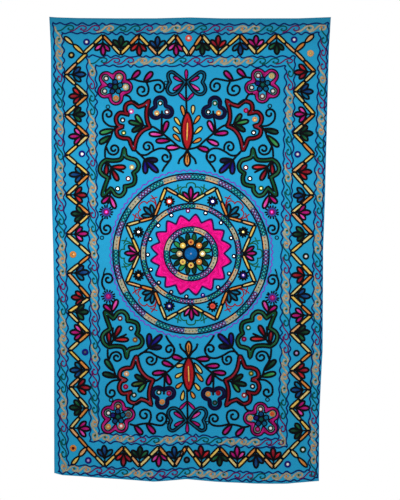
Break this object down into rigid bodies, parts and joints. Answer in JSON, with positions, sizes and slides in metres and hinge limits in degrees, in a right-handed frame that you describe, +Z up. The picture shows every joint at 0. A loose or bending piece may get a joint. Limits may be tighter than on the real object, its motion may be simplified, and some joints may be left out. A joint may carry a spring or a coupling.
{
  "type": "wall tapestry",
  "caption": "Hemmed cotton wall hanging, fixed along its top edge, with chain-stitch borders, flowers and a round centrepiece, and small round mirrors sewn on its face.",
  "frame": {"origin": "middle of the top edge, on the wall", "axes": "+Z up the panel, +X to the right as the face is seen, -Y out of the face"},
  "size_m": [0.917, 0.0212, 1.5165],
  "materials": {
    "cloth": "plain-woven turquoise cotton",
    "mirror": "small round silvered glass",
    "thread": "chain-stitched and satin-stitched cotton and silk thread"
  },
  "bodies": {
    "root": {"cloth": "cloth", "mirror_border_1": "mirror", "mirror_border_2": "mirror", "mirror_border_3": "mirror", "mirror_border_4": "mirror", "mirror_border_5": "mirror", "mirror_border_6": "mirror", "mirror_border_7": "mirror", "mirror_border_8": "mirror", "mirror_border_9": "mirror", "mirror_border_10": "mirror", "mirror_border_11": "mirror", "mirror_border_12": "mirror", "mirror_border_13": "mirror", "mirror_border_14": "mirror", "mirror_border_15": "mirror", "mirror_border_16": "mirror", "mirror_sun_1": "mirror", "mirror_sun_2": "mirror", "mirror_sun_3": "mirror", "mirror_sun_4": "mirror", "mirror_upper_left_1": "mirror", "mirror_upper_left_2": "mirror", "mirror_upper_left_3": "mirror", "mirror_upper_left_4": "mirror", "mirror_upper_left_5": "mirror", "mirror_upper_right_1": "mirror", "mirror_upper_right_2": "mirror", "mirror_upper_right_3": "mirror", "mirror_upper_right_4": "mirror", "mirror_upper_right_5": "mirror", "mirror_lower_left_1": "mirror", "mirror_lower_left_2": "mirror", "mirror_lower_left_3": "mirror", "mirror_lower_left_4": "mirror", "mirror_lower_left_5": "mirror", "mirror_lower_right_1": "mirror", "mirror_lower_right_2": "mirror", "mirror_lower_right_3": "mirror", "mirror_lower_right_4": "mirror", "mirror_lower_right_5": "mirror", "mirror_bud_1": "mirror", "mirror_bud_2": "mirror", "mirror_bud_3": "mirror", "mirror_bud_4": "mirror", "mirror_bud_5": "mirror", "mirror_bud_6": "mirror", "mirror_bud_7": "mirror", "mirror_bud_8": "mirror", "mirror_tip_1": "mirror", "mirror_tip_2": "mirror", "mirror_tip_3": "mirror", "mirror_tip_4": "mirror", "mirror_tip_5": "mirror", "mirror_tip_6": "mirror", "mirror_tip_7": "mirror", "mirror_tip_8": "mirror", "mirror_centre": "mirror"}
  },
  "joints": []
}
